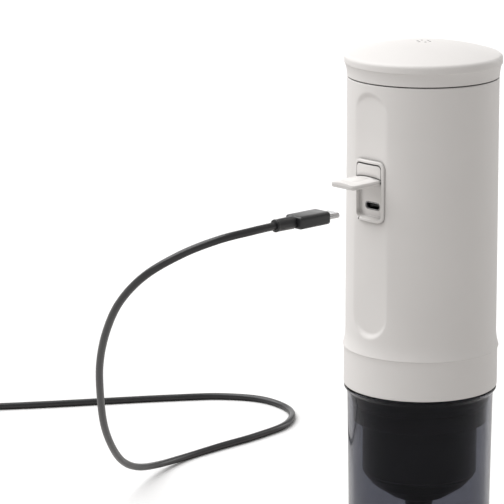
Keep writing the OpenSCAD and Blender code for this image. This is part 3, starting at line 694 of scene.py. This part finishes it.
def tab_outline(inset):
    """Outline of the fixed tab above the flap: round upper corners and an arched lower edge."""
    w, r = POCKET_W / 2 - 0.15 - inset, max(0.3, FLAP_CORNER - inset)
    top = BEZEL_Z + POCKET_H / 2 + 0.02 - inset
    turn = [math.pi / 2 * k / 8 for k in range(9)]
    foot = arch(w, -TAB_GAP - inset) + 0.15
    out = [(w, foot + (top - r - foot) * k / 4) for k in range(4)]
    out += [(w - r + r * math.cos(a), top - r + r * math.sin(a)) for a in turn]
    out += [(w - r - (2 * w - 2 * r) * k / 10, top) for k in range(1, 10)]
    out += [(-w + r - r * math.sin(a), top - r + r * math.cos(a)) for a in turn]
    out += [(-w, foot + (top - r - foot) * k / 4) for k in range(3, -1, -1)]
    across = ((0.2 - w) * (1 - k / 9) for k in range(19))
    return out + [(x, arch(x, -TAB_GAP - inset)) for x in across]


rings = [level(tab_outline(0), 32.3)]
rings += [level(tab_outline(TAB_EDGE * (1 - math.cos(a))), on_face(TAB_EDGE * (1 - math.sin(a))))
          for a in QUARTER]
rings += [level(tab_outline(1.2), on_face(0))]
tab = piece("tab", *skin(rings), body="maker", stands_for=["port_tab"], sharp=50, slices=ACROSS)

# The space that the flap's upper edge sweeps as it turns about its pin is cut out of the tab.
places = [-7.6 + 0.76 * k for k in range(21)]
sweep = [(math.hypot(on_face(0)(x) + PIN.y, arch(x, FLAP_GAP) - PIN.z) + 0.1, x) for x in places]
sweep = [(0, places[0])] + sweep + [(0, 7.6)]
sideways = Matrix.Translation(PIN * MM) @ Matrix.Rotation(math.pi / 2, 4, "Y")
cut(tab, [cutter(*lathe(sweep, 96, False, sideways))], 50)

ROOT_Z = 185.2                          # height of the block that joins the tab to the pocket's floor
root = round_box(11, 2.6, 0.3, 3, 4)
piece("tab_root", *skin([level(root, depth, ROOT_Z) for depth in (32.6, POCKET_Y - 0.02)]), body="maker",
      slot="body_white")


# ---------- start button ----------

REAR = Matrix.Translation((0, 0, BUTTON_Z * MM)) @ Matrix.Rotation(-math.pi / 2, 4, "X")
profile = fillet([(0, 32.62), (5.6, 32.75, 3), (6.9, 33.0, 0.5), (7.8, 33.0, 0.35), (7.8, 30.2),
                  (8.5, 30.2, 0.1), (8.5, 29.6, 0.1), (2, 29.6), (2, 28), (0, 28)])
piece("button", *lathe(profile, 96, False, REAR), body="button", stands_for=["start_button"])
profile = fillet([(8.1, 30.5), (9, 30.5), (9, 32.7, 0.3), (8.1, 32.7, 0.3)], True)
piece("light_ring", *lathe(profile, 96, True, REAR), body="maker", stands_for=["button_ring"])


# ---------- lead's plugs ----------

PLUG_Y = high("plug_body").y / MM
RELIEF_Y = high("plug_relief").y / MM
PLUG_Z = middle_z("plug_body") / MM
GRIP = (10.4, 5.6, 1.5)                 # width, height and corner radius of the plug's grip
FAR_GRIP = (15.6, 7.8, 1.5)
USB_C = (8.25, 2.4)                     # the shell's standard width and height


def loft(sections, place):
    """A skin over rounded rectangles: (width, height, corner radius, depth)."""
    return skin([[place @ (Vector((u, v, d)) * MM) for u, v in round_box(w, h, r, 6, 4)]
                 for w, h, r, d in sections])


def rounded_end(w, h, r, depth, f, sign):
    """Sections that round the end of a block over the last f millimetres."""
    return [(w - 2 * f * (1 - math.cos(a)), h - 2 * f * (1 - math.cos(a)),
             max(0.2, r - f * (1 - math.cos(a))), depth + sign * f * math.sin(a)) for a in QUARTER]


at_plug = Matrix.Translation((0, 0, PLUG_Z * MM)) @ FRONT
front, back = -PLUG_Y, -RELIEF_Y
sections = rounded_end(*GRIP, front + 0.7, 0.7, -1)[::-1]
sections += rounded_end(*GRIP, back - 0.9, 0.9, 1)
plug_grip = piece("plug_grip", *loft(sections, at_plug), body="lead", stands_for=["plug_body"], sharp=45)

SLEEVE_DRAWN = 12.9                     # length the sleeve's outline is drawn at
profile = fillet([(0, 0), (2.5, 0), (2.5, 0.5, 0.2), (2.85, 0.9, 0.3), (2.75, 11.6, 0.6),
                  (2.85, 12.1, 0.25), (2.8, SLEEVE_DRAWN, 0.4), (1.7, SLEEVE_DRAWN)])
behind = Matrix.Translation((0, RELIEF_Y * MM, PLUG_Z * MM)) @ Matrix.Rotation(math.pi / 2, 4, "X")
sleeve_long = (high("plug_relief").y - low("plug_relief").y) / MM
profile = [(r, h * sleeve_long / SLEEVE_DRAWN) for r, h in profile]
sleeve = piece("sleeve", *lathe(profile + [(0, profile[-1][1])], 72, False, behind), body="lead",
               stands_for=["plug_relief"])

tip = -high("plug_shell").y / MM
shell_rings = ((0, front + 0.5), (0, tip + 0.15), (0.1, tip + 0.03), (0.3, tip), (0.5, tip + 0.03),
               (0.6, tip + 0.15), (0.6, tip + 5.6))            # (narrower by, depth), round the open end
sections = [(USB_C[0] - d, USB_C[1] - d, (USB_C[1] - d) / 2, depth) for d, depth in shell_rings]
plug_tip = piece("plug_tip", *loft(sections, at_plug), body="lead", stands_for=["plug_shell"], sharp=50)


TAIL_END = Vector((LEAD_TAIL[-1][0], LEAD_TAIL[-1][1], 0))
TAIL_TURN = math.radians(-46)
# Turns (u, v, depth) into (depth, u, v).
along = Matrix(((0, 0, 1, 0), (1, 0, 0, 0), (0, 1, 0, 0), (0, 0, 0, 1)))
at_far = Matrix.Translation(TAIL_END) @ Matrix.Rotation(TAIL_TURN, 4, "Z") @ along
grip_z, cord_z = Matrix.Translation((0, 3.9 * MM, 0)), Matrix.Translation((0, 4.0 * MM, 0))
sections = rounded_end(*FAR_GRIP, 10.9, 0.9, -1)[::-1] + [(*FAR_GRIP, 20), (*FAR_GRIP, 26)]
sections += rounded_end(*FAR_GRIP, 33.3, 0.7, 1)
far_grip = piece("far_grip", *loft(sections, at_far @ grip_z), body="lead",
                 stands_for=["far_plug_body"], sharp=45)
profile = fillet([(0, 0), (1.9, 0), (2.15, 0.4, 0.2), (2.2, 2.0), (1.95, 2.15), (1.95, 2.75),
                  (2.35, 2.9), (2.45, 4.4), (2.1, 4.55), (2.1, 5.15), (2.55, 5.3), (2.65, 6.9),
                  (2.3, 7.05), (2.3, 7.65), (2.8, 7.8), (2.9, 10.5), (0, 10.5)])
far_sleeve = piece("far_sleeve", *lathe(profile, 72, False, at_far @ cord_z), body="lead",
                   slot="lead_black")
sections = [(12, 4.5, 0.5, 33), (12, 4.5, 0.5, 45.85), (11.9, 4.4, 0.45, 46), (11.5, 4.0, 0.35, 46),
            (11.4, 3.9, 0.3, 45.85), (11.4, 3.9, 0.3, 34.2)]
far_shell = piece("far_shell", *loft(sections, at_far @ grip_z), body="lead",
                  stands_for=["far_plug_shell"], sharp=45)
window = round_box(2.2, 2.4, 0.15, 3, 2)
cut(far_shell, [cutter(*skin([[at_far @ (Vector((u + c, w, v + 39.5)) * MM) for u, v in window]
                              for w in (5, 7)])) for c in (-2.8, 2.8)], 45)

# A flat strap over both turns of the coil, open to the table.
tie_in, tie_out = 16.1, 23.9            # distances of its two ends from the coil's centre
tie_thick, tie_half = 0.6, 4
mid, reach = (tie_in + tie_out) / 2, (tie_out - tie_in) / 2
past = reach + tie_thick
strap = fillet([(-past, 0), (-past, 4.2, 1.4), (past, 4.2, 1.4), (past, 0), (reach, 0),
                (reach, 3.6, 0.9), (-reach, 3.6, 0.9), (-reach, 0)], True, 6)
turned = (Matrix.Translation((COIL_CENTRE.x, COIL_CENTRE.y, 0))
          @ Matrix.Rotation(math.radians(190), 4, "Z"))
tie = piece("tie", *skin([[turned @ (Vector((u + mid, end, v)) * MM) for u, v in strap]
                          for end in (-tie_half, tie_half)]),
            body="lead", stands_for=["coil_tie"], sharp=40)


# ---------- CAD nodes ----------

# The inside, which the CAD draws, gets fine bevels. Nodes with many faces are round enough without.
MOST_FACES = 6000

for cad_node in frame["nodes"].values():
    if len(cad_node.data.polygons) < MOST_FACES:
        weld = cad_node.modifiers.new("weld", "WELD")
        weld.merge_threshold = 1e-6
        edges = cad_node.modifiers.new("edges", "BEVEL")
        edges.limit_method, edges.angle_limit = "ANGLE", math.radians(35)
        edges.width, edges.segments = 0.12 * MM, 2


# ---------- floor and light ----------

LIGHTS_AIM = Vector((0, 0, 0.15))


def viewed(left, away, up):
    """A place given as seen from the camera's side: to its left, away from it and up."""
    return Vector((-0.718, -0.696, 0)) * left + Vector((-0.696, 0.718, 0)) * away + Vector((0, 0, up))


def light(name, left, away, up, size, power):
    """A white soft box that faces the maker."""
    lamp = bpy.data.lights.new(name, "AREA")
    lamp.shape, lamp.size, lamp.size_y = "RECTANGLE", *size
    lamp.energy = power
    obj = bpy.data.objects.new(name, lamp)
    bpy.context.scene.collection.objects.link(obj)
    obj.location = viewed(left, away, up)
    obj.rotation_mode = "QUATERNION"
    obj.rotation_quaternion = (LIGHTS_AIM - obj.location).to_track_quat("-Z", "Y")


sun = bpy.data.objects.new("sky_box", bpy.data.lights.new("sky_box", "SUN"))
bpy.context.scene.collection.objects.link(sun)
sun.data.energy, sun.data.angle = 2.8, math.radians(70)
sun.rotation_mode = "QUATERNION"
sun.rotation_quaternion = (-viewed(0.6, 0.1, 1)).to_track_quat("-Z", "Y")
light("back_box", -1.3, 1.1, 0.7, (0.5, 1.2), 4)
light("backdrop", 0.9, 2.6, 0.55, (3.4, 1.0), 9)

world = bpy.data.worlds.new("studio")
bpy.context.scene.world = world
world.use_nodes = True
world.node_tree.nodes["Background"].inputs["Color"].default_value = (1, 0.98, 0.965, 1)
world.node_tree.nodes["Background"].inputs["Strength"].default_value = 0.35

floor_mesh = bpy.data.meshes.new("floor")
floor_mesh.from_pydata([(-9, -9, 0), (9, -9, 0), (9, 9, 0), (-9, 9, 0)], [], [(0, 1, 2, 3)])
floor = bpy.data.objects.new("floor", floor_mesh)
bpy.context.scene.collection.objects.link(floor)
floor_material = bpy.data.materials.new("floor")
floor_material.use_nodes = True
tree = floor_material.node_tree
bsdf = tree.nodes["Principled BSDF"]
bsdf.inputs["Roughness"].default_value = 0.9
# White to look at, and darker in the light it throws back on the object.
shade = add(tree, "ShaderNodeMix", data_type="RGBA")
shade.inputs[6].default_value = (0.55, 0.54, 0.53, 1)
shade.inputs[7].default_value = (0.97, 0.97, 0.97, 1)
tree.links.new(add(tree, "ShaderNodeLightPath").outputs["Is Camera Ray"], shade.inputs["Factor"])
tree.links.new(shade.outputs[2], bsdf.inputs["Base Color"])
floor_mesh.materials.append(floor_material)
bpy.context.scene.view_settings.view_transform = "Standard"
